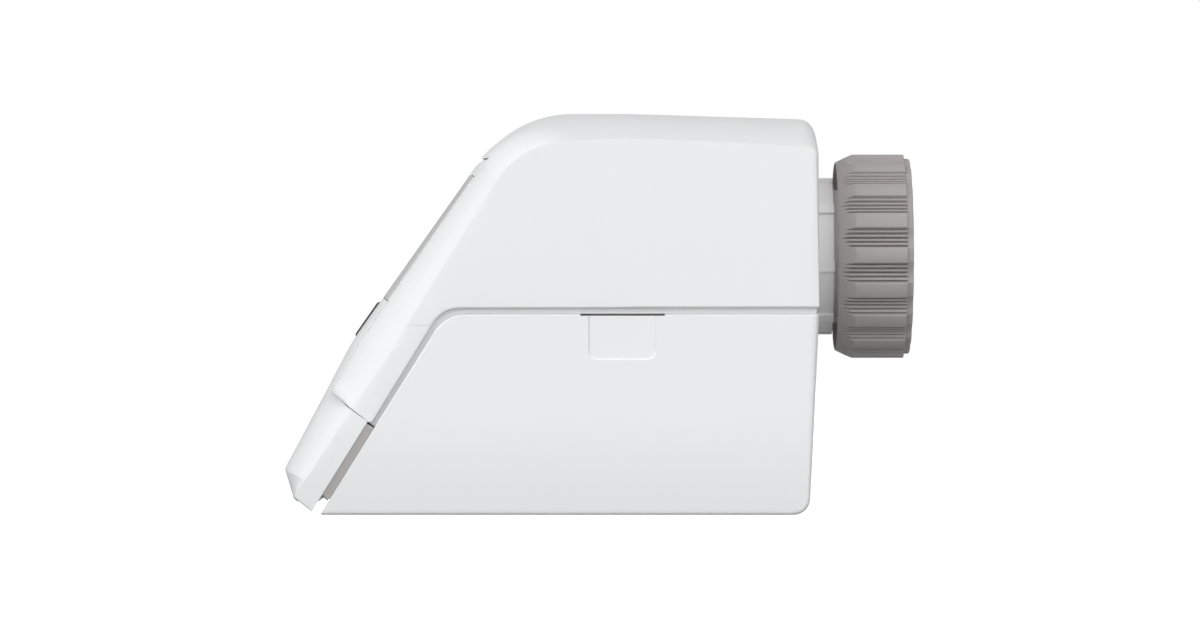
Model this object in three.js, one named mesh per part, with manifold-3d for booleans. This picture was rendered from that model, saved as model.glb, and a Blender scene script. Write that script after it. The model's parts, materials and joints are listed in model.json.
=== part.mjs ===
// Motorised actuator head for a heating valve, in millimetres.
// +Z is up, +X points out of the union nut, the display faces up and towards -X.
// The origin is under the middle of the object, on the flat underside of the battery cover.
import * as THREE from "three";
import { mergeVertices } from "three/addons/utils/BufferGeometryUtils.js";
import Module from "manifold-3d";

const wasm = await Module();
wasm.setup();

// ---------- driving dimensions ----------
const halfWidth = 27;
const height = 64;
const frontX = -50; // tip of the display grip
const nutEndX = 50; // open end of the union nut
const wall = 2.2;
const gap = 0.3; // between pieces that rest against each other

const rearX = 34.5; // rear face of the housing
const coverTop = 31.7;
const groove = 0.9; // open line between the housing and the battery cover
const coverTipX = -44.1; // foot of the cover's slanted front edge
const slope = THREE.MathUtils.degToRad(58); // of that edge, from the horizontal
const grooveRadius = 5.6;

const faceSlope = THREE.MathUtils.degToRad(55); // of the display face
const faceFoot = { x: -39.2, z: 27.5 }; // where the display face bends into the grip
const moduleHalfWidth = 22.2; // of the display module between the housing's arms
const moduleGap = 0.4;
const hinge = { depth: 3.5, up: 33.2, pinRadius: 1.2 };

const axisZ = 41; // of the valve spindle, the spigot and the nut
const spigotRadius = 12.2;
const nutRadius = 16.6;
const nutStartX = 38;
const flutes = 18;
const threadMinorRadius = 14.2; // M30 x 1.5

const gearModule = 0.54;
const teeth = { pinion: 10, wheel: 30, output: 40 };
const battery = { radius: 7.2, length: 49.2, y: 8, z: 12, rearX: 28.8 };

// ---------- solids ----------
const root = new THREE.Group();

function solid(geometry) {
  const bare = geometry.index ? geometry.toNonIndexed() : geometry.clone();
  bare.deleteAttribute("normal");
  bare.deleteAttribute("uv");
  const merged = mergeVertices(bare, 1e-4);
  return new wasm.Manifold(
    new wasm.Mesh({
      numProp: 3,
      vertProperties: new Float32Array(merged.attributes.position.array),
      triVerts: new Uint32Array(merged.index.array),
    }),
  );
}

function geometryOf(body) {
  const mesh = body.getMesh();
  const geometry = new THREE.BufferGeometry();
  geometry.setAttribute("position", new THREE.BufferAttribute(new Float32Array(mesh.vertProperties), 3));
  geometry.setIndex(new THREE.BufferAttribute(new Uint32Array(mesh.triVerts), 1));
  geometry.computeVertexNormals();
  return geometry;
}

function place(name, body, material, parent = root) {
  const geometry = body.isBufferGeometry ? body : geometryOf(body);
  const mesh = new THREE.Mesh(geometry, material);
  mesh.name = name;
  parent.add(mesh);
  return mesh;
}

function boxGeometry(low, high) {
  const size = high.map((value, i) => value - low[i]);
  const middle = high.map((value, i) => (value + low[i]) / 2);
  return new THREE.BoxGeometry(...size).translate(...middle);
}

const box = (low, high) => solid(boxGeometry(low, high));

function rodX(radius, x0, x1, y, z, segments = 16) {
  const rod = new THREE.CylinderGeometry(radius, radius, x1 - x0, segments).rotateZ(-Math.PI / 2);
  return solid(rod.translate((x0 + x1) / 2, y, z));
}

function rodY(radius, y0, y1, x, z, segments = 16) {
  const rod = new THREE.CylinderGeometry(radius, radius, y1 - y0, segments);
  return solid(rod.translate(x, (y0 + y1) / 2, z));
}

function rodZ(radius, z0, z1, x, y, segments = 12) {
  const rod = new THREE.CylinderGeometry(radius, radius, z1 - z0, segments).rotateX(Math.PI / 2);
  return solid(rod.translate(x, y, (z0 + z1) / 2));
}

// A ring of revolution about the line along X through (y, z); the profile is [x, radius] pairs.
function turnedX(profile, y, z, segments = 32) {
  const points = profile.map(([x, radius]) => new THREE.Vector2(radius, x));
  const lathe = new THREE.LatheGeometry(points, segments).rotateZ(-Math.PI / 2);
  return solid(lathe.translate(0, y, z));
}

// A prism along Y over an outline of [x, z] points.
function prismY(outline, y0, y1) {
  const shape = new THREE.Shape(outline.map(([x, z]) => new THREE.Vector2(x, z)));
  const prism = new THREE.ExtrudeGeometry(shape, { depth: y1 - y0, bevelEnabled: false });
  return solid(prism.rotateX(Math.PI / 2).translate(0, y1, 0));
}

// Joins rings of equal length into one closed solid, each end closed by a fan about its middle.
function loft(rings) {
  const count = rings[0].length;
  const vertices = rings.flat();
  const faces = [];
  for (let r = 0; r + 1 < rings.length; r++) {
    for (let i = 0; i < count; i++) {
      const a = r * count + i;
      const b = r * count + ((i + 1) % count);
      faces.push([a, a + count, b], [b, a + count, b + count]);
    }
  }
  for (const [start, first] of [[0, true], [(rings.length - 1) * count, false]]) {
    const end = vertices.slice(start, start + count);
    const middle = [0, 1, 2].map((k) => end.reduce((total, point) => total + point[k], 0) / count);
    const centre = vertices.push(middle) - 1;
    for (let i = 0; i < count; i++) {
      const a = start + i;
      const b = start + ((i + 1) % count);
      faces.push(first ? [a, b, centre] : [b, a, centre]);
    }
  }
  const build = (order) =>
    new wasm.Manifold(
      new wasm.Mesh({
        numProp: 3,
        vertProperties: new Float32Array(vertices.flat()),
        triVerts: new Uint32Array(faces.flatMap(order)),
      }),
    );
  const body = build((face) => face);
  return body.volume() > 0 ? body : build(([a, b, c]) => [a, c, b]);
}

// A boolean can leave slivers along a shared edge: keeps the piece itself.
function largest(body) {
  return body.decompose().sort((a, b) => b.volume() - a.volume())[0];
}

// ---------- outlines in the XZ plane ----------
// A corner is {x, z, r, edge}: its fillet radius, and the kind of edge that leaves it.
const wideRadius = 25; // a bend wider than this needs few steps
function filleted(corners, fineSteps = 4) {
  const points = [];
  corners.forEach((corner, i) => {
    const steps = corner.r > wideRadius ? 2 : fineSteps;
    const before = corners[(i + corners.length - 1) % corners.length];
    const after = corners[(i + 1) % corners.length];
    const here = new THREE.Vector2(corner.x, corner.z);
    const back = new THREE.Vector2(before.x, before.z).sub(here).normalize();
    const ahead = new THREE.Vector2(after.x, after.z).sub(here).normalize();
    const half = Math.acos(THREE.MathUtils.clamp(back.dot(ahead), -1, 1)) / 2;
    const reach = corner.r / Math.tan(half);
    const centre = back.clone().add(ahead).normalize().multiplyScalar(corner.r / Math.sin(half)).add(here);
    const start = back.multiplyScalar(reach).add(here).sub(centre);
    const end = ahead.multiplyScalar(reach).add(here).sub(centre);
    const turn = Math.atan2(start.cross(end), start.dot(end));
    for (let k = 0; k <= steps; k++) {
      const point = start.clone().rotateAround(new THREE.Vector2(), (turn * k) / steps).add(centre);
      const edges = { from: before.edge, to: corner.edge, blend: k / steps, square: corner.square };
      points.push({ x: point.x, z: point.y, ...edges });
    }
  });
  return points;
}

// Moves every edge of a counter-clockwise outline inwards by a distance.
function inset(corners, distance) {
  const moved = corners.map((corner, i) => {
    const next = corners[(i + 1) % corners.length];
    const direction = new THREE.Vector2(next.x - corner.x, next.z - corner.z).normalize();
    const point = new THREE.Vector2(corner.x - direction.y * distance, corner.z + direction.x * distance);
    return { point, direction };
  });
  return corners.map((corner, i) => {
    const a = moved[(i + corners.length - 1) % corners.length];
    const b = moved[i];
    const t = b.point.clone().sub(a.point).cross(b.direction) / a.direction.cross(b.direction);
    const { x, y } = a.direction.clone().multiplyScalar(t).add(a.point);
    return { ...corner, x, z: y, r: Math.max(corner.r - distance, 0.2) };
  });
}

// A square corner moves in along X with one edge and along Z with the other.
// Counter-clockwise, seen along +Y from the -Y side: the outline in the middle of the object.
const middleOutline = [
  { x: 32.9, z: 0, r: 1.8, edge: "rear" },
  { x: rearX, z: coverTop, r: 30, edge: "rear" },
  { x: rearX - 0.1, z: height - 0.9, r: 2.4, edge: "top", square: true },
  { x: 5, z: height, r: 60, edge: "top" },
  { x: -13.4, z: height, r: 17, edge: "front" },
  { x: faceFoot.x, z: faceFoot.z, r: 30, edge: "front" },
  { x: frontX - 0.1, z: 7.1, r: 1.2, edge: "front" },
  { x: -48.6, z: 2.4, r: 1.5, edge: "front" },
  { x: -45.6, z: 0, r: 0.8, edge: "bottom" },
];

// The same outline at the side faces, where the crown and the bevel have drawn it in.
const sideOutline = [
  { x: 32.1, z: 0.9, r: 1.2, edge: "rear" },
  { x: rearX - 0.9, z: coverTop, r: 30, edge: "rear" },
  { x: rearX - 1, z: 58, r: 1.6, edge: "top" },
  { x: 5, z: 59.3, r: 60, edge: "top" },
  { x: -12.6, z: 58.6, r: 14, edge: "front" },
  { x: -32.6, z: 26, r: 30, edge: "front" },
  { x: -46.4, z: 5.5, r: 0.9, edge: "front" },
  { x: -48.1, z: 3, r: 0.5, edge: "front" },
  { x: -45.3, z: 0.7, r: 0.4, edge: "bottom" },
];

// How far each kind of edge has moved from the middle outline to the side outline, at a share of the width.
const bevelStart = 0.66;
const bevelReach = 0.93;
const roundStart = 0.95;
const arcRise = (t) => 1 - Math.sqrt(1 - t * t);
const edgeRise = {
  top: (y) => y * y,
  front: (y) => arcRise((Math.max(y - bevelStart, 0) / (1 - bevelStart)) * bevelReach) / arcRise(bevelReach),
  rear: (y) => arcRise(Math.max(y - roundStart, 0) / (1 - roundStart)),
  bottom: (y) => arcRise(Math.max(y - roundStart, 0) / (1 - roundStart)),
};
const widthShares = [0, 0.35, 0.66, 0.78, 0.88, 0.95, 0.985, 1];

// The whole outer form, or the form inside its walls.
function form(thickness) {
  const middle = filleted(thickness ? inset(middleOutline, thickness) : middleOutline);
  const side = filleted(thickness ? inset(sideOutline, thickness * 0.4) : sideOutline);
  const shares = [...widthShares.slice(1).reverse().map((share) => -share), ...widthShares];
  const rings = shares.map((share) => {
    const y = share * (halfWidth - thickness);
    return middle.map((point, i) => {
      const from = edgeRise[point.from](Math.abs(share));
      const to = edgeRise[point.to](Math.abs(share));
      const mixed = THREE.MathUtils.lerp(from, to, point.blend);
      const x = THREE.MathUtils.lerp(point.x, side[i].x, point.square ? from : mixed);
      const z = THREE.MathUtils.lerp(point.z, side[i].z, point.square ? to : mixed);
      return [x, y, z];
    });
  });
  return loft(rings);
}

// The two ends of a span along Y, mirrored to one side of the middle plane and in rising order.
const onSide = (side, near, far) => (side > 0 ? [near, far] : [-far, -near]);

// A point near the slanted front: a distance up the cover's front edge, and a distance out from it.
function bySlope(up, out) {
  const x = coverTipX + up * Math.cos(slope) - out * Math.sin(slope);
  const z = up * Math.sin(slope) + out * Math.cos(slope);
  return [x, z];
}

// A band along the slant, between two distances up it and two distances out from it.
const slopeBand = (low, high, near, far) => [
  bySlope(low, near), bySlope(low, far), bySlope(high, far), bySlope(high, near),
];

// The battery cover's side outline, grown outwards by a distance.
function coverOutline(grow, bottom) {
  const top = coverTop + grow;
  const lineX = (z) => coverTipX - grow / Math.sin(slope) + z / Math.tan(slope);
  const corners = [
    { x: 60, z: bottom, r: 0.1 },
    { x: 60, z: top, r: 0.1 },
    { x: lineX(top), z: top, r: grooveRadius - grow },
    { x: lineX(bottom), z: bottom, r: 0.1 },
  ];
  return filleted(corners, 6).map((point) => [point.x, point.z]);
}

// Places a geometry built on a sloping face: x goes inwards, z up the slope, from the face's foot.
function onFace(angle) {
  const turn = new THREE.Matrix4().makeRotationY(Math.PI / 2 - angle);
  return turn.setPosition(faceFoot.x, 0, faceFoot.z);
}
const displayFace = onFace(faceSlope);
const gripSlope = THREE.MathUtils.degToRad(62);
const gripFace = onFace(gripSlope);
const faceBox = (low, high, face = displayFace) => solid(boxGeometry(low, high).applyMatrix4(face));

// ---------- finishes ----------
const finish = (color, roughness, metalness = 0) =>
  new THREE.MeshStandardMaterial({ color, roughness, metalness });
const white = finish(0xeceef0, 0.35);
const grey = finish(0x8d8a8a, 0.5);
const paleGrey = finish(0xcfd2d4, 0.45);
const darkGrey = finish(0x3a3c3e, 0.6);
const natural = finish(0xe6e2d6, 0.5);
const steel = finish(0xb9bcc0, 0.3, 1);
const board = finish(0x1f6b3f, 0.5);
const clear = finish(0xc4c9cc, 0.1);

// ---------- white shells ----------
const outer = form(0);
const shell = outer.subtract(form(wall));
const lineGap = 0.3;
const everyY = [-40, 40];
const coverSpace = (grow) => prismY(coverOutline(grow, -5), ...everyY);
const spigotHole = rodX(spigotRadius + 0.5, 30, 40, 0, axisZ, 40);

const seam = [[-60, 35.9], [-42.2, 19.4], [-39.5, 16.9], [-36.4, 14.7], [-30, 10.2]];
const seamGap = 0.25;
function gripSpace(rise) {
  const edge = seam.map(([x, z]) => [x, z + rise]).reverse();
  return prismY([[-60, -5], [-30, -5], ...edge], ...everyY);
}

const hingePlace = new THREE.Vector3(hinge.depth, 0, hinge.up).applyMatrix4(displayFace);
const hingeBore = 1.5;
const bossRadius = 2.4;
const noseRadius = 3.4; // the module's upper end turns about the hinge inside the pocket
const pocketEdge = { up: 35.4, depth: 2 }; // where the housing ends above the module
const screwPlaces = [[-10, 1], [-10, -1], [10.5, 1], [10.5, -1]].map(([x, side]) => [x, side * 22.3]);
const screwBoss = { radius: 2.6, bore: 1.4, low: 33.4, high: 60 };

function upperHousing() {
  const lip = outer.subtract(form(1)).intersect(coverSpace(groove));
  const pocketHalf = moduleHalfWidth + moduleGap;
  const nose = rodY(noseRadius + gap, -pocketHalf, pocketHalf, hingePlace.x, hingePlace.z, 32);
  const edge = faceBox([-6, -pocketHalf, hinge.up - 1], [pocketEdge.depth, pocketHalf, pocketEdge.up]);
  const pocket = faceBox([-6, -pocketHalf, -60], [13, pocketHalf, hinge.up]).add(nose).add(edge);
  let body = shell.subtract(coverSpace(lineGap)).subtract(lip).subtract(gripSpace(seamGap)).subtract(pocket);
  for (const side of [-1, 1]) {
    const boss = rodY(bossRadius, ...onSide(side, 22.7, 25.4), hingePlace.x, hingePlace.z);
    const bore = rodY(hingeBore, ...onSide(side, 22, 24.9), hingePlace.x, hingePlace.z);
    body = body.add(boss.intersect(outer)).subtract(bore);
  }
  for (const [x, y] of screwPlaces) {
    body = body.add(rodZ(screwBoss.radius, screwBoss.low, screwBoss.high, x, y).intersect(outer));
    body = body.subtract(rodZ(screwBoss.bore, screwBoss.low - 1, screwBoss.low + 11, x, y));
  }
  return largest(body.subtract(spigotHole));
}

const pad = { x0: -1.6, x1: 8.6, z: 24.7, depth: 0.4 }; // where fingers squeeze the cover
const frontPlate = 2; // thickness of the cover's slanted front
// The front plate is cut away behind the dial, and higher up where it would meet the chassis on its way off.
const notches = [{ halfWidth: 10, low: 16.6 }, { halfWidth: 17.6, low: 26 }];

function batteryCover() {
  const plate = prismY(slopeBand(0, 42, -frontPlate, 0), -26.5, 26.5);
  let body = shell.add(plate.intersect(outer)).intersect(coverSpace(0));
  for (const { halfWidth: half, low } of notches) {
    body = body.subtract(box([-40, -half, low], [-10, half, 40]));
  }
  for (const side of [-1, 1]) {
    const [y0, y1] = onSide(side, halfWidth - pad.depth, halfWidth + 2);
    body = body.subtract(box([pad.x0, y0, pad.z], [pad.x1, y1, coverTop + 1]));
  }
  return largest(body.subtract(spigotHole));
}

place("upper_housing", upperHousing(), white);
place("battery_cover", batteryCover(), white);

// ---------- display module ----------
const plateOut = { near: 0.15, far: 1.3, frame: 1.4 }; // layers of the module, out from the battery cover
const dial = { radius: 7, length: 7.2, middle: 3.65, proud: 0.9 };
dial.depth = dial.radius - dial.proud;
dial.bore = 1.3;
const lens = { low: 8.4, high: 32.2, thickness: 1.4 };
const lcd = { halfWidth: 17, low: lens.low + 2, high: lens.high - 1.4 };
const hollowHalfWidth = 20.2; // of the space inside the display frame
const button = { radius: 3.2, up: -9.5 };
const toeSlot = { halfWidth: 25.2, high: 2.1 }; // a finger slot under the grip

function faceRod(radius, z0, z1, x, y, segments = 24, face = displayFace) {
  const rod = new THREE.CylinderGeometry(radius, radius, z1 - z0, segments).rotateX(Math.PI / 2);
  return solid(rod.translate(x, y, (z0 + z1) / 2).applyMatrix4(face));
}

function facePin(radius, x0, x1, z, segments = 24, face = gripFace) {
  const rod = new THREE.CylinderGeometry(radius, radius, x1 - x0, segments).rotateZ(Math.PI / 2);
  return solid(rod.translate((x0 + x1) / 2, 0, z).applyMatrix4(face));
}

function displayFrame() {
  const rearPlane = [bySlope(-9, plateOut.frame), bySlope(70, plateOut.frame)];
  const ahead = prismY([...rearPlane, [-90, 60], [-90, -9]], ...everyY);
  const nose = rodY(noseRadius, -moduleHalfWidth, moduleHalfWidth, hingePlace.x, hingePlace.z, 32);
  const panel = faceBox([-6, -moduleHalfWidth, -30], [16, moduleHalfWidth, hinge.up]).add(nose);
  let body = outer.intersect(ahead).intersect(gripSpace(0).add(panel));
  const hollow = faceBox([-2, -hollowHalfWidth, -20], [16, hollowHalfWidth, 33.6]);
  body = body.subtract(form(1.8).intersect(hollow));

  const half = dial.length / 2 + 0.5;
  const [below, above] = [dial.middle - half, dial.middle + half];
  for (const [z0, z1] of [[below - 1.2, below], [above, above + 1]]) {
    body = body.add(faceBox([1.4, -5, z0], [8, 5, z1]));
  }
  body = body.subtract(faceRod(dial.bore, below - 3, above + 3, dial.depth, 0, 16));
  body = body.subtract(faceRod(dial.radius + 0.4, below + 0.1, above - 0.1, dial.depth, 0, 32));

  const [low, high] = [lens.low - gap, lens.high + gap];
  const across = moduleHalfWidth + 1;
  body = body.subtract(faceBox([-6, -across, low], [lens.thickness + gap, across, high]));
  body = body.subtract(faceBox([-6, -hollowHalfWidth, low], [2.4, hollowHalfWidth, high]));
  body = body.subtract(facePin(button.radius + 0.3, -4, 2.6, button.up));
  for (const side of [-1, 1]) {
    body = body.subtract(rodY(hingeBore, ...onSide(side, 19, 23), hingePlace.x, hingePlace.z));
  }
  const slot = box([frontX - 2, -toeSlot.halfWidth, -1], [-42, toeSlot.halfWidth, toeSlot.high]);
  return largest(body.subtract(slot));
}

// The window wraps over the module's rounded edges, down to its sides.
function displayLens() {
  const sides = moduleHalfWidth - 0.02;
  return outer.intersect(faceBox([-6, -sides, lens.low], [lens.thickness, sides, lens.high]));
}

// A plate behind the grip and the module, with a cup round the back of the dial.
function displayRearCover() {
  const { near, far } = plateOut;
  const layer = (low, high, halfY) => prismY(slopeBand(low, high, near, far), -halfY, halfY);
  const plate = layer(3, 16.1, 26.2).add(layer(16, 57, 21.8));
  const half = dial.length / 2 + 0.7;
  const [z0, z1] = [dial.middle - half, dial.middle + half];
  const cup = faceRod(dial.radius + 1.5, z0 - 1, z1 + 1, dial.depth, 0, 32);
  const behind = prismY([bySlope(-9, far), bySlope(70, far), [60, 60], [60, -9]], ...everyY);
  const hollow = faceRod(dial.radius + 0.5, z0, z1, dial.depth, 0, 32);
  return plate.add(cup.intersect(behind)).subtract(hollow);
}

const faceGroup = new THREE.Group();
faceGroup.applyMatrix4(displayFace);
root.add(faceGroup);
const buttonGroup = new THREE.Group();
buttonGroup.applyMatrix4(gripFace);
root.add(buttonGroup);

place("display_frame", displayFrame(), white);
place("display_rear_cover", displayRearCover(), grey);
place("display_lens", displayLens(), clear);
const lcdLayer = (x0, x1) => boxGeometry([x0, -lcd.halfWidth, lcd.low], [x1, lcd.halfWidth, lcd.high]);
place("lcd_glass", lcdLayer(1.8, 3.4), darkGrey, faceGroup);
place("lcd_backlight", lcdLayer(3.7, 4.9), natural, faceGroup);
for (const [name, side] of [["hinge_pin_left", -1], ["hinge_pin_right", 1]]) {
  place(name, rodY(hinge.pinRadius, ...onSide(side, 20.6, 24.5), hingePlace.x, hingePlace.z, 12), steel);
}

function displayBoard() {
  const body = prismY(slopeBand(9, 55, 1.9, 2.7), -19.4, 19.4);
  const half = dial.length / 2 + 2.4;
  return body.subtract(faceBox([0, -8.6, dial.middle - half], [16, 8.6, dial.middle + half]));
}
place("display_pcb", displayBoard(), board);
place("tact_switch", boxGeometry([3.9, -3, button.up - 3], [6.3, 3, button.up + 3]), darkGrey, buttonGroup);

// A wheel with rounded ends and a ribbed rim, about its own Z axis.
function ribbedWheel(radius, length, ribs) {
  const ring = (z, shrink) =>
    Array.from({ length: ribs * 2 }, (_, i) => {
      const angle = (i * Math.PI) / ribs;
      const r = radius - shrink - (i % 2 ? 0.25 : 0);
      return [r * Math.cos(angle), r * Math.sin(angle), z];
    });
  const end = length / 2;
  return loft([ring(-end, 0.5), ring(-end + 0.5, 0), ring(end - 0.5, 0), ring(end, 0.5)]);
}
const dialGroup = new THREE.Group();
dialGroup.position.set(dial.depth, 0, dial.middle);
faceGroup.add(dialGroup);
const dialBore = rodZ(dial.bore, -10, 10, 0, 0);
place("setting_dial", ribbedWheel(dial.radius, dial.length, 28).subtract(dialBore), darkGrey, dialGroup);
place("dial_axle", rodZ(1, -5, 5, 0, 0), steel, dialGroup);

// A round key with a flange that keeps it behind the front wall.
function modeButton() {
  const rim = button.radius;
  const flange = rim + 0.9;
  const profile = [[0, 0], [0, rim - 0.4], [0.4, rim], [2.2, rim], [2.2, flange], [2.9, flange], [2.9, 0]];
  return turnedX(profile, 0, button.up, 24);
}
place("mode_button", modeButton(), white, buttonGroup);

// ---------- chassis and power ----------
const plateZ = { low: 31, high: 33 };
const chassisHalfWidth = 24.4;
const batteryFrontX = battery.rearX - battery.length;
const screwHeadRadius = 2.2;
const trayHalfWidth = 17; // of the walls that hold the batteries
const gearWellHalfWidth = 13.2;

function chassis() {
  let body = box([-18.5, -chassisHalfWidth, plateZ.low], [31.7, chassisHalfWidth, plateZ.high]);
  for (const side of [-1, 1]) {
    const [y0, y1] = onSide(side, trayHalfWidth - 1.2, trayHalfWidth);
    body = body.add(box([-18, y0, 12], [30.5, y1, plateZ.low + 1]));
  }
  const roof = [[-24.2, 19.7], [30.5, 20.9]];
  const frontWall = [[-24.2, 4], [-23, 20]];
  const rearWall = [[29.5, 4], [30.5, 20]];
  for (const [[x0, z0], [x1, z1]] of [roof, frontWall, rearWall]) {
    body = body.add(box([x0, -trayHalfWidth, z0], [x1, trayHalfWidth, z1]));
  }
  const well = [[16, -gearWellHalfWidth, plateZ.low - 1], [40, gearWellHalfWidth, plateZ.high + 1]];
  body = body.subtract(box(...well));
  for (const [x, y] of screwPlaces) {
    body = body.subtract(rodZ(screwBoss.bore, plateZ.low - 1, plateZ.high + 1, x, y));
  }
  return body;
}
place("chassis", chassis(), grey);

for (const [i, side] of [-1, 1].entries()) {
  const y = side * battery.y;
  const cell = [
    [0, 0], [0, 4.5], [0.4, battery.radius], [battery.length - 1.4, battery.radius],
    [battery.length - 1, 2.7], [battery.length, 2.7], [battery.length, 0],
  ];
  const mesh = place(`battery_${i + 1}`, turnedX(cell, 0, 0, 24), darkGrey);
  mesh.position.set(side < 0 ? batteryFrontX : battery.rearX, y, battery.z);
  mesh.rotation.z = side < 0 ? 0 : Math.PI;
}

// A conical contact spring: one wire wound on a plate, pressing on the cell's flat end.
class Coil extends THREE.Curve {
  constructor(turns, wide, narrow, length) {
    super();
    Object.assign(this, { turns, wide, narrow, length });
  }
  getPoint(t) {
    const radius = THREE.MathUtils.lerp(this.wide, this.narrow, t);
    const angle = t * this.turns * 2 * Math.PI;
    return new THREE.Vector3(t * this.length, radius * Math.cos(angle), radius * Math.sin(angle));
  }
}

function contactSpring() {
  const wire = new THREE.Shape().absarc(0, 0, 0.25, 0, 2 * Math.PI);
  const coil = new Coil(2, 4, 2.4, 1);
  const options = { extrudePath: coil, steps: 20, curveSegments: 3, bevelEnabled: false };
  return solid(new THREE.ExtrudeGeometry(wire, options)).add(box([-0.45, -4.6, -4.6], [0.05, 4.6, 4.6]));
}
const frontContact = box([-22.7, 3.4, 7.4], [-22.2, 12.6, 16.6]).add(box([-22.3, 5, 9], [-20.7, 11, 15]));
place("battery_contact_front", frontContact, steel);
const springMesh = place("battery_spring_front", contactSpring(), steel);
springMesh.position.set(-22.2, -battery.y, battery.z);
place("battery_bridge_rear", box([29.1, -12.6, 7.4], [29.3, 12.6, 16.6]), steel);

for (const [i, [x, y]] of screwPlaces.entries()) {
  const head = rodZ(screwHeadRadius, plateZ.low - 1.6, plateZ.low - 0.3, x, y);
  const socket = rodZ(0.9, plateZ.low - 2, plateZ.low - 0.9, x, y, 6);
  const shank = rodZ(1.1, plateZ.low - 0.8, plateZ.high + 9, x, y);
  place(`chassis_screw_${i + 1}`, head.subtract(socket).add(shank), steel);
}

// ---------- electronics ----------
const boardZ = { low: 34.2, high: 35.2 };
place("main_pcb", box([-16, -18.6, boardZ.low], [13.6, 18.6, boardZ.high]), board);
place("mcu_chip", box([-6, 4, boardZ.high + 0.3], [1, 11, boardZ.high + 1.4]), darkGrey);
place("radio_module", box([-13, 3, boardZ.high + 0.3], [-8, 15, boardZ.high + 2.2]), steel);
place("buffer_capacitor", rodZ(3, boardZ.high + 0.3, boardZ.high + 9, 8, 12, 20), darkGrey);
place("flex_ribbon", prismY([[-13.7, 35.6], [-13.7, 50], [-13.4, 50], [-13.4, 35.6]], -6, 2), natural);

// ---------- gear train: every axis runs along X ----------
const pitch = (count) => (gearModule * count) / 2;
const stage = pitch(teeth.pinion) + pitch(teeth.wheel);
const lastStage = pitch(teeth.pinion) + pitch(teeth.output);
const lastAngle = THREE.MathUtils.degToRad(25);
const shaft2 = { y: lastStage * Math.cos(lastAngle), z: axisZ + lastStage * Math.sin(lastAngle) };
const shaft1 = { y: shaft2.y - stage, z: shaft2.z };
const motorAxis = { y: shaft1.y - stage, z: shaft2.z };
const arborRadius = 0.75;
const gearBore = 0.85;
const boxWall = { x0: 16.6, x1: 31.4, halfWidth: 22.6, low: 33.6, high: 57.2, thickness: 1.2 };

// Teeth are cut short of full depth, so that meshed wheels run clear of each other.
function gear(count, x0, x1, phase = 0) {
  const tip = pitch(count) - 0.06;
  const foot = pitch(count) - 0.5;
  const ring = (x) =>
    Array.from({ length: count }).flatMap((_, i) =>
      [[-0.28, foot], [-0.13, tip], [0.13, tip], [0.28, foot]].map(([share, radius]) => {
        const angle = ((i + share + phase) * 2 * Math.PI) / count;
        return [x, radius * Math.cos(angle), radius * Math.sin(angle)];
      }),
    );
  return loft([ring(x0), ring(x1)]);
}

function compoundGear(wheelX, pinionX) {
  const body = gear(teeth.wheel, ...wheelX).add(gear(teeth.pinion, ...pinionX));
  return body.subtract(rodX(gearBore, 0, 60, 0, 0, 12));
}

function placeOnAxis(name, body, material, { y, z }) {
  const mesh = place(name, body, material);
  mesh.position.set(0, y, z);
  return mesh;
}

const pinionBody = gear(teeth.pinion, 17.1, 20.2, 0.5).add(rodX(arborRadius, 12.4, 17.2, 0, 0, 12));
placeOnAxis("motor_pinion", pinionBody, steel, motorAxis);
placeOnAxis("gear_1", compoundGear([17.4, 19.6], [19.4, 22.9]), natural, shaft1);
placeOnAxis("gear_2", compoundGear([20.6, 22.6], [22.4, 29.6]), natural, shaft2);
place("arbor_1", rodX(arborRadius, 15.4, 23.4, shaft1.y, shaft1.z, 12), steel);
place("arbor_2", rodX(arborRadius, 15.4, 30, shaft2.y, shaft2.z, 12), steel);

const outputHub = 4.6;
const spindleBore = 3.2;
const outputBody = gear(teeth.output, 25.4, 29.2).add(rodX(outputHub, 24.6, 33.4, 0, 0, 24));
const outputGear = outputBody.subtract(rodX(spindleBore, 20, 40, 0, 0, 24));
placeOnAxis("output_gear", outputGear, natural, { y: 0, z: axisZ });

const pusher = [[21.6, 0], [21.6, 2.9], [38.8, 2.9], [38.8, 4.4], [40.3, 4.4], [40.9, 3.6], [40.9, 0]];
place("pusher", turnedX(pusher, 0, axisZ, 24), steel);

function gearboxPlate() {
  let body = box([14.7, -boxWall.halfWidth, boxWall.low], [16.2, boxWall.halfWidth, boxWall.high - 0.6]);
  for (const { y, z } of [shaft1, shaft2]) {
    body = body.subtract(rodX(arborRadius + gap, 10, 20, y, z, 12));
  }
  return body.subtract(rodX(2, 10, 20, motorAxis.y, motorAxis.z, 16));
}
place("gearbox_plate", gearboxPlate(), darkGrey);

// A tray open towards the plate, with a deeper well for the output gear and a collar round its hub.
function gearboxCover() {
  const { x0, x1, halfWidth: half, low, high, thickness } = boxWall;
  const well = { half: 12.7, low: 28.9 };
  const space = (inset, start, end) => {
    const tray = box([start, -half + inset, low + inset], [end, half - inset, high - inset]);
    return tray.add(box([start, -well.half + inset, well.low + inset], [end, well.half - inset, low + 2]));
  };
  const collar = rodX(6.6, x1 - 0.2, 34.2, 0, axisZ, 24);
  const hubHole = rodX(outputHub + 0.15, x1 - 3, 40, 0, axisZ, 24);
  return space(0, x0, x1).subtract(space(thickness, x0 - 1, x1 - thickness)).add(collar).subtract(hubHole);
}
place("gearbox_cover", gearboxCover(), darkGrey);

const motorCan = [[-9, 0], [-9, 6.8], [-8.4, 7.4], [11.6, 7.4], [12, 7], [12, 2.6], [14.2, 2.6], [14.2, 0]];
const motorBody = turnedX(motorCan, 0, 0, 28).subtract(rodX(arborRadius + gap, 12, 20, 0, 0, 12));
placeOnAxis("motor", motorBody, steel, motorAxis);

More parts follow.
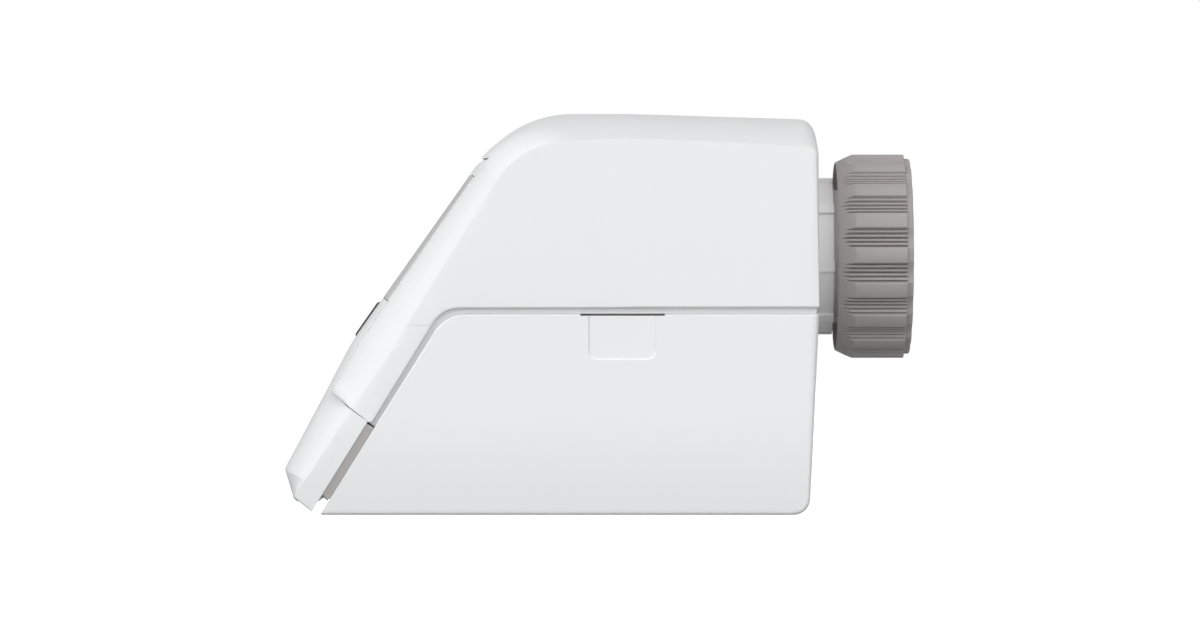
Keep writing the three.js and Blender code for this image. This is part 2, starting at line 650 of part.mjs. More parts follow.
// ---------- valve adapter and union nut ----------
const throatX = 40.2;
const neckRadius = 10.8;
const adapterBore = 9.4;
const ribs = 8;

function valveAdapter() {
  const profile = [
    [32, 7], [32, spigotRadius], [37.6, spigotRadius], [37.6, neckRadius], [throatX + 0.3, neckRadius],
    [throatX + 0.3, 13.4], [42.2, 13.4], [42.2, adapterBore], [34.6, adapterBore], [34.6, 7], [32, 7],
  ];
  let body = turnedX(profile, 0, axisZ, 32);
  for (let i = 0; i < ribs; i++) {
    const rib = boxGeometry([35, spigotRadius - 0.6, -0.9], [37.6, spigotRadius + 0.45, 0.9]);
    const angle = THREE.MathUtils.degToRad(i * (360 / ribs) + 8);
    body = body.add(solid(rib.rotateX(angle).translate(0, 0, axisZ)));
  }
  return body;
}
place("valve_adapter", valveAdapter(), paleGrey);

function unionNut() {
  const perFlute = 5;
  const ring = (x, shrink, depth) =>
    Array.from({ length: flutes * perFlute }, (_, i) => {
      const share = (i % perFlute) / perFlute;
      const hollow = Math.sin(Math.PI * Math.min(share / 0.6, 1)) * depth;
      const angle = ((i / perFlute - 0.3) * 2 * Math.PI) / flutes;
      const radius = nutRadius - shrink - hollow;
      return [x, radius * Math.cos(angle), radius * Math.sin(angle)];
    });
  const rings = [
    ring(nutStartX, 1.3, 0), ring(nutStartX + 0.5, 1.25, 0), ring(nutStartX + 1.6, 0.1, 1),
    ring(nutEndX - 1.4, 0, 1), ring(nutEndX - 1.3, 0.8, 0.6), ring(nutEndX, 1, 0.6),
  ];
  const bore = [
    [nutStartX - 1, 0], [nutStartX - 1, neckRadius + 0.4], [throatX, neckRadius + 0.4],
    [throatX, threadMinorRadius + 0.3], [throatX + 2, threadMinorRadius],
    [nutEndX - 0.3, threadMinorRadius], [nutEndX + 0.5, threadMinorRadius + 0.8], [nutEndX + 0.5, 0],
  ];
  return loft(rings).subtract(turnedX(bore, 0, 0, 40));
}
placeOnAxis("union_nut", unionNut(), grey, { y: 0, z: axisZ });

export default root;
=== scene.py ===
"""Looks of the motorised actuator head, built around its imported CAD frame. Helpers take millimetres."""

import json
import math

import bmesh
import bpy
from mathutils import Matrix, Vector


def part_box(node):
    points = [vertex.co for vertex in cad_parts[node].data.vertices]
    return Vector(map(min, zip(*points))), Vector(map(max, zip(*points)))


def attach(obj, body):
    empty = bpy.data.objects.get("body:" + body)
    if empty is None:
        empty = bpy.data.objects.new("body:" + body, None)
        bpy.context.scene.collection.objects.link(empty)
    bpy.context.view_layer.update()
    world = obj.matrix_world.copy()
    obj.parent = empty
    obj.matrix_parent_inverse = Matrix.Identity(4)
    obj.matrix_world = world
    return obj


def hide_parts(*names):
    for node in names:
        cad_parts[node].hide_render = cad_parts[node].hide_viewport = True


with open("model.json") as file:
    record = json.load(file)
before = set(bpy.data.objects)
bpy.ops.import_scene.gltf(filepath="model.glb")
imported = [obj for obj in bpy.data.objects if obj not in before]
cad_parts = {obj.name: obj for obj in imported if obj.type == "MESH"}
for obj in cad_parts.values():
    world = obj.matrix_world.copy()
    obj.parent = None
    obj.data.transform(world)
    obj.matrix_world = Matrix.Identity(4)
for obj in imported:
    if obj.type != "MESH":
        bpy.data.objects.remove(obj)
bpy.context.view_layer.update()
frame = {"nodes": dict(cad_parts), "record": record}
MM = 0.001

# ---------- camera: level, looking along +Y, from far off ----------
DISTANCE = 900.0
SENSOR = 36.0
PICTURE_WIDTH = 194.4  # what the picture spans at the object's middle
AIM = (0.0, 0.0, 31.5)
camera = bpy.data.objects.new("camera", bpy.data.cameras.new("camera"))
camera.data.sensor_width = SENSOR
camera.data.lens = SENSOR * DISTANCE / PICTURE_WIDTH
camera.data.clip_start = 0.05
camera.data.clip_end = 20.0
camera.location = (AIM[0] * MM, -DISTANCE * MM, AIM[2] * MM)
camera.rotation_euler = (math.pi / 2, 0, 0)
bpy.context.scene.collection.objects.link(camera)
bpy.context.scene.camera = camera


# ---------- sizes, from the frame ----------
def corners_mm(node):
    low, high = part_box(node)
    return [v / MM for v in low], [v / MM for v in high]


_, housing_high = corners_mm("upper_housing")
cover_low, cover_high = corners_mm("battery_cover")
grip_low, _ = corners_mm("display_frame")
nut_low, nut_high = corners_mm("union_nut")

HALF_WIDTH = housing_high[1]
HEIGHT = housing_high[2]
REAR_X = housing_high[0]
TIP_X = grip_low[0]
COVER_TOP = cover_high[2]
COVER_TIP_X = cover_low[0]
NUT_START_X, NUT_END_X = nut_low[0], nut_high[0]
AXIS_Z = (nut_low[2] + nut_high[2]) / 2
NUT_RADIUS = 16.6
SPIGOT_RADIUS = 12.2
SPIGOT_HOLE = SPIGOT_RADIUS + 0.5
FAR = 60  # past the part's front and sides, and above all that is trimmed with it
WALL = 2.2
EDGE_RADIUS = 1.35  # of the rear and bottom edges beside the side faces
SEAM_RADIUS = 0.3  # of the edges along the seams
GROOVE = 0.9  # height of the open line above the battery cover
LIP_GAP = 0.02
LIP_DEPTH = 1.4  # how far the lip lies under the side faces
LIP_THICKNESS = 0.5
LIP_OFFSET = 0.05  # from the wall's inner faces: inwards at the sides, outwards at the rear
SLOPE = math.radians(58)
GROOVE_RADIUS = 5.6
FACE_SLOPE = math.radians(55)
GRIP_SLOPE = math.radians(62)
FACE_FOOT = (-39.2, 27.5)
MODULE_HALF_WIDTH = 22.2
MODULE_INSIDE = 20.2
MODULE_WALL = 1.9
MODULE_GAP = 0.4  # between the module's sides and the pocket
HINGE = {"depth": 3.5, "up": 33.2, "nose": 3.4, "boss": 2.3, "bore": 1.3, "module_bore": 1.5}
POCKET_EDGE = {"up": 35.4, "depth": 2}
SCREW_POST = {"radius": 2.6, "bore": 1.4, "top": 58.5}
MOULD_MARK = {"x0": -30.2, "x1": -26.4, "low": 29.8, "high": 29.9, "depth": 0.1}
PAD = {"x0": -1.6, "x1": 8.6, "z": 24.7, "depth": 0.28, "radius": 1.35}
PAD_SLIT = {"x0": -3.1, "x1": 10.2, "depth": 0.32}
FRONT_NOTCHES = [(10, 16.6), (17.6, 26)]  # half width and foot of the openings in the cover's front wall
DIAL = {"radius": 7.0, "length": 7.2, "up": 3.65, "depth": 6.1, "ribs": 40, "rib_depth": 0.38}
LENS = {"low": 8.4, "high": 32.2, "thickness": 1.4, "gap": 0.12}
TOE_SLOT = {"half_width": 25.2, "high": 2.1}  # a finger slot under the grip
BUTTON = {"radius": 3.2, "up": -9.5}


# ---------- meshes ----------
def new_object(name, vertices, faces):
    mesh = bpy.data.meshes.new(name)
    mesh.from_pydata([tuple(c * MM for c in v) for v in vertices], [], faces)
    obj = bpy.data.objects.new(name, mesh)
    bpy.context.scene.collection.objects.link(obj)
    bm = bmesh.new()
    bm.from_mesh(mesh)
    bmesh.ops.recalc_face_normals(bm, faces=bm.faces)
    bm.to_mesh(mesh)
    bm.free()
    return obj


def loft(name, rings, caps=True):
    """One closed mesh through rings of equal length; without caps the last ring joins the first."""
    count = len(rings[0])
    vertices = [v for ring in rings for v in ring]
    faces = []
    spans = len(rings) - 1 if caps else len(rings)
    for r in range(spans):
        here, there = r * count, ((r + 1) % len(rings)) * count
        for i in range(count):
            j = (i + 1) % count
            faces.append((here + i, here + j, there + j, there + i))
    if caps:
        last = (len(rings) - 1) * count
        faces += [tuple(range(count)), tuple(range(last + count - 1, last - 1, -1))]
    return new_object(name, vertices, faces)


def apply_modifiers(obj):
    graph = bpy.context.evaluated_depsgraph_get()
    mesh = bpy.data.meshes.new_from_object(obj.evaluated_get(graph))
    obj.modifiers.clear()
    obj.data = mesh
    return obj


def boolean(obj, other, operation, keep_other=False):
    modifier = obj.modifiers.new("boolean", "BOOLEAN")
    modifier.operation = operation
    modifier.object = other
    modifier.solver = "MANIFOLD"
    apply_modifiers(obj)
    if not keep_other:
        bpy.data.objects.remove(other)
    return obj


def cut(obj, *others):
    for other in others:
        boolean(obj, other, "DIFFERENCE")
    return obj


def add(obj, *others):
    for other in others:
        boolean(obj, other, "UNION")
    return obj


def keep(obj, other):
    return boolean(obj, other, "INTERSECT")


def prism(outline, y0, y1):
    """A prism along Y over [x, z] points."""
    return loft("prism", [[(x, y, z) for x, z in outline] for y in (y0, y1)])


def block(low, high, place=None, bevel=0.0):
    (x0, y0, z0), (x1, y1, z1) = low, high
    obj = prism([(x0, z0), (x1, z0), (x1, z1), (x0, z1)], y0, y1)
    if bevel:
        modifier = obj.modifiers.new("bevel", "BEVEL")
        modifier.width = bevel * MM
        modifier.segments = 4
        apply_modifiers(obj)
    if place is not None:
        obj.data.transform(place)
    return obj


def turned(name, profile, steps=128, radial=None, place=None):
    """A ring about the X axis with a closed profile of (x, radius).

    radial(j, x, angle) is added to the radius of point j.
    """
    rings = []
    for k in range(steps):
        angle = 2 * math.pi * k / steps
        ring = []
        for j, (x, radius) in enumerate(profile):
            r = radius + (radial(j, x, angle) if radial else 0.0)
            ring.append((x, r * math.cos(angle), r * math.sin(angle)))
        rings.append(ring)
    obj = loft(name, rings, caps=False)
    if place is not None:
        obj.data.transform(place)
    return obj


def rod(radius, start, end, place=None, steps=64):
    """A closed rod along X."""
    rings = []
    for x in (start, end):
        angles = [2 * math.pi * k / steps for k in range(steps)]
        rings.append([(x, radius * math.cos(a), radius * math.sin(a)) for a in angles])
    obj = loft("rod", rings)
    if place is not None:
        obj.data.transform(place)
    return obj


def at(x, y, z):
    return Matrix.Translation((x * MM, y * MM, z * MM))


def on_side(side, near, far):
    """A range of Y on one side of the middle plane, its lower end first."""
    return sorted((near * side, far * side))


def spigot_hole(steps=128):
    return rod(SPIGOT_HOLE, 28, 40, at(0, 0, AXIS_Z), steps)


ALONG_Y = Matrix.Rotation(math.pi / 2, 4, "Z")
ALONG_Z = Matrix.Rotation(-math.pi / 2, 4, "Y")


def on_face(slope):
    """x goes into a sloping face, z up it, from the face's foot."""
    return at(FACE_FOOT[0], 0, FACE_FOOT[1]) @ Matrix.Rotation(math.pi / 2 - slope, 4, "Y")


DISPLAY_FACE = on_face(FACE_SLOPE)
GRIP_FACE = on_face(GRIP_SLOPE)
HINGE_PLACE = DISPLAY_FACE @ at(HINGE["depth"], 0, HINGE["up"])


# ---------- outlines in the XZ plane ----------
def corner(x, z, radius, edge, square=False):
    """A corner and the edge after it.

    Towards the side faces, a square one moves in x with the edge before it and in z with the edge after it.
    """
    return {"x": x, "z": z, "r": radius, "edge": edge, "square": square}


def filleted(corners, fine=12):
    """Points of an outline with round corners: (x, z, edge before, edge after, share of the turn, square)."""
    points = []
    for i, here in enumerate(corners):
        before, after = corners[i - 1], corners[(i + 1) % len(corners)]
        p = Vector((here["x"], here["z"]))
        back = (Vector((before["x"], before["z"])) - p).normalized()
        ahead = (Vector((after["x"], after["z"])) - p).normalized()
        half = back.angle(ahead) / 2
        reach = here["r"] / math.tan(half)
        middle = p + (back + ahead).normalized() * here["r"] / math.sin(half)
        start, end = p + back * reach - middle, p + ahead * reach - middle
        turn = math.atan2(start.x * end.y - start.y * end.x, start.dot(end))
        for k in range(fine + 1):
            a = turn * k / fine
            x = start.x * math.cos(a) - start.y * math.sin(a) + middle.x
            z = start.x * math.sin(a) + start.y * math.cos(a) + middle.y
            points.append((x, z, before["edge"], here["edge"], k / fine, here["square"]))
    return points


def crossing(a, b, c, d):
    """Where the line through a and b meets the line through c and d."""
    ax, az, cx, cz = b[0] - a[0], b[1] - a[1], d[0] - c[0], d[1] - c[1]
    t = ((c[0] - a[0]) * cz - (c[1] - a[1]) * cx) / (ax * cz - az * cx)
    return a[0] + ax * t, a[1] + az * t


def by_slope(up, out):
    x = COVER_TIP_X + up * math.cos(SLOPE) - out * math.sin(SLOPE)
    return x, up * math.sin(SLOPE) + out * math.cos(SLOPE)


def slope_band(low, high, near, far):
    """A band along the slant, between two distances up it and two distances out from it."""
    return [by_slope(low, near), by_slope(low, far), by_slope(high, far), by_slope(high, near)]


BEVEL_START = 0.66  # share of the half width where the front's rounding starts
BEVEL_REACH = 0.93  # sine of the angle that the rounding turns through


def arc_rise(t):
    return 1 - math.sqrt(max(1 - t * t, 0))


def edge_rise(edge, y):
    """Share of the way from the middle outline to the side outline, at a distance y from the middle plane."""
    share = y / HALF_WIDTH
    if edge == "top":
        return share * share
    if edge == "front":
        t = max(share - BEVEL_START, 0) / (1 - BEVEL_START) * BEVEL_REACH
        return arc_rise(t) / arc_rise(BEVEL_REACH)
    radius = EDGE_RADIUS if edge in ("rear", "bottom") else SEAM_RADIUS
    return arc_rise(max(y - (HALF_WIDTH - radius), 0) / radius)


def width_stations():
    coarse = [HALF_WIDTH * k / 12 for k in range(11)]
    fine = [HALF_WIDTH - EDGE_RADIUS * math.cos(math.radians(a)) for a in range(0, 91, 15)]
    finest = [HALF_WIDTH - SEAM_RADIUS * math.cos(math.radians(a)) for a in (0, 22, 45, 67)]
    bevel = [HALF_WIDTH * (0.8 + 0.025 * k) for k in range(6)]
    ys = sorted({round(y, 4) for y in coarse + bevel + fine + finest})
    return [-y for y in reversed(ys) if y > 0] + ys


WIDTHS = width_stations()


FOOT_LEAN = {"height": 15.0, "share": 0.042}
TOP_LEAN = {"from": 45.0, "share": 0.0006}  # the share is for each millimetre of height
# Heights where a form gets points, so that it can lean.
LEVELS = [*range(1, 16), 22, 30, 38, *range(44, 59, 2)]
STATIONS = range(-45, 34, 3)  # the same along X


def side_lean(z):
    """The side faces draw in towards the bottom, and lean in a little near the top."""
    low = max(FOOT_LEAN["height"] - z, 0.0) / FOOT_LEAN["height"]
    high = max(z - TOP_LEAN["from"], 0.0)
    return 1 - FOOT_LEAN["share"] * low * low - TOP_LEAN["share"] * high


def body_form(name, middle, side, widths=None):
    """Lofts from the middle outline to the side outline on both sides, then leans the sides."""
    rings = []
    middle_points, side_points = filleted(middle), filleted(side)
    for y in widths or WIDTHS:
        ring = []
        for (x, z, before, after, share, square), other in zip(middle_points, side_points):
            a, b = edge_rise(before, abs(y)), edge_rise(after, abs(y))
            mixed = a + (b - a) * share
            x_rise, z_rise = (a, b) if square else (mixed, mixed)
            ring.append((x + (other[0] - x) * x_rise, y, z + (other[1] - z) * z_rise))
        rings.append(ring)
    obj = loft(name, rings)
    bm = bmesh.new()
    bm.from_mesh(obj.data)
    bmesh.ops.triangulate(bm, faces=[f for f in bm.faces if len(f.verts) > 4])
    levels = [((0, 0, z), (0, 0, 1)) for z in LEVELS]
    for place, normal in levels + [((x, 0, 0), (1, 0, 0)) for x in STATIONS]:
        geometry = bm.verts[:] + bm.edges[:] + bm.faces[:]
        point = [c * MM for c in place]
        bmesh.ops.bisect_plane(bm, geom=geometry, plane_co=point, plane_no=normal, dist=1e-7)
    for v in bm.verts:
        v.co.y *= side_lean(v.co.z / MM)
    bm.to_mesh(obj.data)
    bm.free()
    return obj


# The outer form's corners, in the middle plane and at the side faces, as on the CAD shells.
REAR_FOOT = (33.0, 0.0), (32.5, 0.45)
REAR_TOP = (REAR_X - 0.1, HEIGHT - 0.9), (REAR_X - 1.0, 58.0)
CROWN = (5.0, HEIGHT), (5.0, 59.3)
BROW = (-13.4, HEIGHT), (-12.6, 58.6)
KNEE = FACE_FOOT, (-32.6, 26.0)
TIP = (TIP_X - 0.1, 7.1), (-46.4, 5.5)
CHIN = (-48.6, 2.4), (-48.1, 3.0)
TOE = (-45.6, 0.0), (-45.3, 0.7)
SEAM = [(-60, 35.9), (-42.2, 19.4), (-39.5, 16.9), (-36.4, 14.7), (-30, 10.2)]
SEAM_GAP = 0.14


def seam_crossing(level, rise):
    """Where the seam meets the front of the middle outline (level 0) or the side outline (level 1)."""
    first, second = [(x, z + rise) for x, z in (SEAM[:2], SEAM[2:4])[level]]
    return crossing(first, second, KNEE[level], TIP[level])


def below_seam(rise):
    """Outline of everything under the seam between the arms and the grip, raised by a margin."""
    return [(-60, -8), (-30, -8), *[(x, z + rise) for x, z in reversed(SEAM)]]


def groove_line(grow, z):
    """Where the cover's slanted edge lies at a height, grown by a margin."""
    return COVER_TIP_X - grow / math.sin(SLOPE) + z / math.tan(SLOPE)


# ---------- the white upper housing ----------
def pocket_cutter():
    half = MODULE_HALF_WIDTH + MODULE_GAP
    cutter = block((-8, -half, -60), (13, half, HINGE["up"]), DISPLAY_FACE)
    nose = rod(HINGE["nose"] + 0.3, -half, half, HINGE_PLACE @ ALONG_Y, 96)
    edge = block((-8, -half, HINGE["up"] - 1), (POCKET_EDGE["depth"], half, POCKET_EDGE["up"]), DISPLAY_FACE)
    return add(cutter, nose, edge)


def screw_posts():
    _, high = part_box("chassis")
    posts = []
    for k in range(1, 5):
        low, top = corners_mm(f"chassis_screw_{k}")
        x, y = (low[0] + top[0]) / 2, (low[1] + top[1]) / 2
        place = at(x, y, 0) @ ALONG_Z
        post = rod(SCREW_POST["radius"], high[2] / MM + 0.4, SCREW_POST["top"], place, 40)
        hole = rod(SCREW_POST["bore"], high[2] / MM - 1, top[2] + 2, place, 32)
        posts.append(cut(post, hole))
    return posts


def housing_outline(level):
    """Corners of the housing's side outline: level 0 in the middle plane, 1 at the side faces."""
    top = COVER_TOP + GROOVE
    fine = SEAM_RADIUS * level
    rise = SEAM_GAP
    front = seam_crossing(level, rise)
    end = (SEAM[3][0], SEAM[3][1] + rise)
    bend = (SEAM[2][0], SEAM[2][1] + rise)
    halfway = ((front[0] + end[0]) / 2, (front[1] + end[1]) / 2)
    kink = (bend, halfway)[level]
    inner_end = (groove_line(GROOVE, end[1]), end[1] - 0.3)
    return [
        corner(REAR_X - 1.0 * level, top + fine, 0.25, "rear", True),
        corner(*REAR_TOP[level], 2.4 - 0.8 * level, "top", True),
        corner(*CROWN[level], 60, "top"),
        corner(*BROW[level], 17 - 3 * level, "front"),
        corner(*KNEE[level], 30, "front"),
        corner(front[0], front[1], 0.25, "seam"),
        corner(*kink, 3, "seam"),
        corner(inner_end[0] - fine, inner_end[1], 0.25, "seam"),
        corner(groove_line(GROOVE, top) - 0.6 * fine, top + fine, GROOVE_RADIUS - GROOVE + fine, "seam"),
    ]


def housing_hollow():
    """What the walls leave inside: open below, and open along the arms."""
    outline = [
        corner(REAR_X - WALL, 20, 1, "rear"),
        corner(REAR_X - WALL, HEIGHT - 0.9 - WALL, 2, "top", True),
        corner(5, HEIGHT - WALL, 60, "top"),
        corner(-12.6, HEIGHT - WALL, 15, "front"),
        corner(FACE_FOOT[0] + 2.65, FACE_FOOT[1] - 1, 30, "front"),
        corner(-52, 5, 1, "front"),
        corner(-52, 2, 1, "front"),
    ]
    side = [
        corner(REAR_X - WALL, 20, 1, "rear"),
        corner(REAR_X - WALL, 56.6, 2, "top", True),
        corner(5, 57.9, 60, "top"),
        corner(-11.9, 57.3, 13, "front"),
        corner(-31.4, 25.4, 30, "front"),
        corner(-44, 5, 1, "front"),
        corner(-44, 2, 1, "front"),
    ]
    half = HALF_WIDTH - WALL
    return body_form("hollow", outline, side, [half * k / 12 for k in range(-12, 13)])


def upper_housing():
    obj = body_form("housing_shell", housing_outline(0), housing_outline(1))
    cut(obj, housing_hollow(), pocket_cutter())
    limit = body_form("limit", front_outline(0), front_outline(1))
    for side in (-1, 1):
        boss = rod(HINGE["boss"], *on_side(side, 22.7, 25.4), HINGE_PLACE @ ALONG_Y, 48)
        add(obj, boolean(boss, limit, "INTERSECT", keep_other=True))
        cut(obj, rod(HINGE["bore"], *on_side(side, 22.0, 24.6), HINGE_PLACE @ ALONG_Y, 48))
        y0, y1 = on_side(side, HALF_WIDTH - MOULD_MARK["depth"], HALF_WIDTH + 1)
        cut(obj, block((MOULD_MARK["x0"], y0, MOULD_MARK["low"]), (MOULD_MARK["x1"], y1, MOULD_MARK["high"])))
    bpy.data.objects.remove(limit)
    add(obj, *screw_posts())
    return cut(obj, spigot_hole())


def lip_outline(grow):
    top, low = COVER_TOP + grow, 8.0
    return [
        corner(REAR_X - 0.4, low, 0.1, "seam"),
        corner(REAR_X - 0.4, top, 0.1, "seam"),
        corner(groove_line(grow, top), top, GROOVE_RADIUS - grow, "seam"),
        corner(groove_line(grow, low), low, 0.05, "seam"),
    ]


def housing_lip():
    """The recessed lip that shows in the open line above the battery cover."""

    def outline_prism(grow, half):
        return prism([(x, z) for x, z, *_ in filleted(lip_outline(grow))], -half, half)

    obj = outline_prism(GROOVE + LIP_THICKNESS, HALF_WIDTH - LIP_DEPTH)
    cut(obj, outline_prism(LIP_GAP, HALF_WIDTH + 5))
    inner = HALF_WIDTH - WALL - LIP_OFFSET
    cut(obj, block((-FAR, -inner, 0), (REAR_X - WALL + LIP_OFFSET, inner, FAR)))
    cut(obj, spigot_hole(96))
    return cut(obj, prism(below_seam(-0.1), -FAR, FAR))


# ---------- the battery cover ----------
def cover_outline(level):
    fine = SEAM_RADIUS * level
    return [
        corner(*REAR_FOOT[level], 2.6 - 0.5 * level, "rear"),
        corner(REAR_X - 1.0 * level, COVER_TOP - fine, 0.25, "rear", True),
        corner(groove_line(0, COVER_TOP) + 0.6 * fine, COVER_TOP - fine, GROOVE_RADIUS - fine, "seam"),
        corner(COVER_TIP_X + 0.4 * level, 0.45 * level, 0.2, "bottom"),
    ]


def pad_cutter(side):
    """The squeeze pad's shallow step, with round lower corners."""
    outline = [
        corner(PAD["x0"], PAD["z"], PAD["radius"], "seam"),
        corner(PAD["x1"], PAD["z"], PAD["radius"], "seam"),
        corner(PAD["x1"], COVER_TOP + 2, 0.2, "seam"),
        corner(PAD["x0"], COVER_TOP + 2, 0.2, "seam"),
    ]
    outer = [(x, z) for x, z, *_ in filleted(outline)]
    floor_y = HALF_WIDTH - PAD["depth"]
    middle = ((PAD["x0"] + PAD["x1"]) / 2, PAD["z"] + 4)

    def grown(amount):
        ring = []
        for x, z in outer:
            ring.append((x + math.copysign(amount, x - middle[0]), z - (amount if z < middle[1] else 0)))
        return ring

    rings = [[(x, side * floor_y, z) for x, z in grown(0)]]
    rings.append([(x, side * (HALF_WIDTH + 0.02), z) for x, z in grown(0.3)])
    rings.append([(x, side * (HALF_WIDTH + 2), z) for x, z in grown(0.3)])
    return loft("pad", rings)


def battery_cover():
    obj = body_form("cover_shell", cover_outline(0), cover_outline(1))
    half = HALF_WIDTH - WALL
    rear = REAR_X - WALL
    inner_line = [(groove_line(-2.0, z), z) for z in (FAR, WALL)]
    cut(obj, prism([(REAR_X - 3.9, WALL), (rear, COVER_TOP), (rear, FAR), *inner_line], -half, half))
    for side in (-1, 1):
        cut(obj, pad_cutter(side))
        y0, y1 = on_side(side, half - 0.5, HALF_WIDTH + 1)
        slit_low = COVER_TOP - PAD_SLIT["depth"]
        cut(obj, block((PAD_SLIT["x0"], y0, slit_low), (PAD_SLIT["x1"], y1, COVER_TOP + 3)))
    for reach, foot in FRONT_NOTCHES:
        cut(obj, block((-45, -reach, foot), (-10, reach, 50)))
    return cut(obj, spigot_hole())


# ---------- the display module ----------
def front_outline(level):
    """The front body as one form. The module is cut out of it, and the hinge bosses are trimmed to it."""
    return [
        corner(10 - level, 1 + level, 0.5, "bottom"),
        corner(10 - level, HEIGHT - 5, 2.4, "top", True),
        corner(5 - level, CROWN[level][1], 1, "top"),
        corner(*BROW[level], 17 - 3 * level, "front"),
        corner(*KNEE[level], 30, "front"),
        corner(*TIP[level], 1.3 - 0.4 * level, "front"),
        corner(*CHIN[level], 1.4 - 0.9 * level, "front"),
        corner(*TOE[level], 0.6 - 0.2 * level, "bottom"),
    ]


def dial_dish():
    """A shallow bowl around the dial, so that a thumb can reach its rim."""
    rings = []
    for k in range(9):
        t = k / 8
        depth = -0.6 + 2.6 * t
        spread = math.sqrt(1 - t * t * 0.72)
        half_y, half_z = 10.5 * spread, 5.6 * spread
        ring = []
        for i in range(64):
            a = 2 * math.pi * i / 64
            c, s = math.cos(a), math.sin(a)
            y = math.copysign(abs(c) ** 0.6, c) * half_y
            z = math.copysign(abs(s) ** 0.6, s) * half_z
            ring.append((depth, y, DIAL["up"] + z))
        rings.append(ring)
    obj = loft("dish", rings)
    obj.data.transform(DISPLAY_FACE)
    return obj


def display_frame():
    obj = body_form("front_shell", front_outline(0), front_outline(1))
    keep(obj, prism([by_slope(-9, 1.4), by_slope(70, 1.4), (-90, FAR), (-90, -9)], -FAR, FAR))
    panel = block((-6, -MODULE_HALF_WIDTH, -30), (16, MODULE_HALF_WIDTH, HINGE["up"]), DISPLAY_FACE)
    add(panel, rod(HINGE["nose"], -MODULE_HALF_WIDTH, MODULE_HALF_WIDTH, HINGE_PLACE @ ALONG_Y, 96))
    add(panel, prism(below_seam(0), -FAR, FAR))
    keep(obj, panel)
    inside = MODULE_INSIDE
    cut(obj, block((MODULE_WALL, -inside, -9), (16, inside, 33.4), DISPLAY_FACE))
    cut(obj, block((MODULE_WALL, -inside, -19), (16, inside, -5), GRIP_FACE))
    low, high = LENS["low"] - LENS["gap"], LENS["high"] + LENS["gap"]
    cut(obj, block((-8, -30, low), (LENS["thickness"] + LENS["gap"], 30, high), DISPLAY_FACE))
    cut(obj, block((-8, -inside, low), (2.6, inside, high), DISPLAY_FACE))
    shelf = DIAL["length"] / 2 + 0.5
    lower_bearing = (DIAL["up"] - shelf - 1.2, DIAL["up"] - shelf)
    upper_bearing = (DIAL["up"] + shelf, DIAL["up"] + shelf + 1.0)
    for z0, z1 in (lower_bearing, upper_bearing):
        add(obj, block((1.4, -5, z0), (8.4, 5, z1), DISPLAY_FACE))
    dial_turn = DISPLAY_FACE @ at(DIAL["depth"], 0, 0) @ ALONG_Z
    cut(obj, rod(1.3, DIAL["up"] - shelf - 3, DIAL["up"] + shelf + 3, dial_turn, 32))
    cut(obj, dial_dish())
    cut(obj, rod(DIAL["radius"] + 0.35, DIAL["up"] - shelf + 0.15, DIAL["up"] + shelf - 0.15, dial_turn, 96))
    cut(obj, rod(BUTTON["radius"] + 0.2, -4, 2.7, GRIP_FACE @ at(0, 0, BUTTON["up"]), 72))
    for side in (-1, 1):
        cut(obj, rod(HINGE["module_bore"], *on_side(side, 19, 23), HINGE_PLACE @ ALONG_Y, 40))
    half = TOE_SLOT["half_width"]
    return cut(obj, block((TIP_X - 2, -half, -1), (-42, half, TOE_SLOT["high"])))


def rear_plate():
    """The grey plate behind the grip and the module, flush with the sides, with a cup round the dial."""
    obj = body_form("plate", front_outline(0), front_outline(1))
    obj.data.transform(Matrix.Diagonal((1, 0.994, 1, 1)))
    bands = prism(slope_band(3, 16.2, 0.03, 1.39), -FAR, FAR)
    keep(obj, add(bands, prism(slope_band(16, 57, 0.15, 1.3), -21.8, 21.8)))
    half = DIAL["length"] / 2 + 0.7
    low, high = DIAL["up"] - half, DIAL["up"] + half
    place = DISPLAY_FACE @ at(DIAL["depth"], 0, 0) @ ALONG_Z
    cup = rod(DIAL["radius"] + 1.5, low - 1, high + 1, place, 96)
    keep(cup, prism([by_slope(-9, 1.3), by_slope(70, 1.3), (FAR, FAR), (FAR, -9)], -FAR, FAR))
    return cut(add(obj, cup), rod(DIAL["radius"] + 0.5, low, high, place, 96))


def setting_dial():
    """A thumbwheel turning about the slope's own direction, with a finely ribbed rim."""
    half, radius, ribs = DIAL["length"] / 2, DIAL["radius"], DIAL["ribs"]
    depth = [0.0, 0.0, 0.35, 1.0, 1.0, 1.0, 1.0, 0.35, 0.0, 0.0]
    profile = [
        (-half, 1.4), (-half, radius - 1.1), (-half, radius - 0.45), (-half + 0.45, radius - 0.05),
        (-half + 0.75, radius), (half - 0.75, radius), (half - 0.45, radius - 0.05), (half, radius - 0.45),
        (half, radius - 1.1), (half, 1.4),
    ]

    def ribbed(j, x, angle):
        wave = abs(math.cos(angle * ribs / 2)) ** 0.7
        return -DIAL["rib_depth"] * depth[j] * (1 - wave)

    place = DISPLAY_FACE @ at(DIAL["depth"], 0, DIAL["up"]) @ ALONG_Z
    return turned("setting_dial_rim", profile, ribs * 10, ribbed, place)


def display_lens():
    """The window over the display, which wraps over the module's rounded edges down to its sides."""
    obj = body_form("display_window", front_outline(0), front_outline(1))
    half = MODULE_HALF_WIDTH - 0.02
    return keep(obj, block((-8, -half, LENS["low"]), (LENS["thickness"], half, LENS["high"]), DISPLAY_FACE))


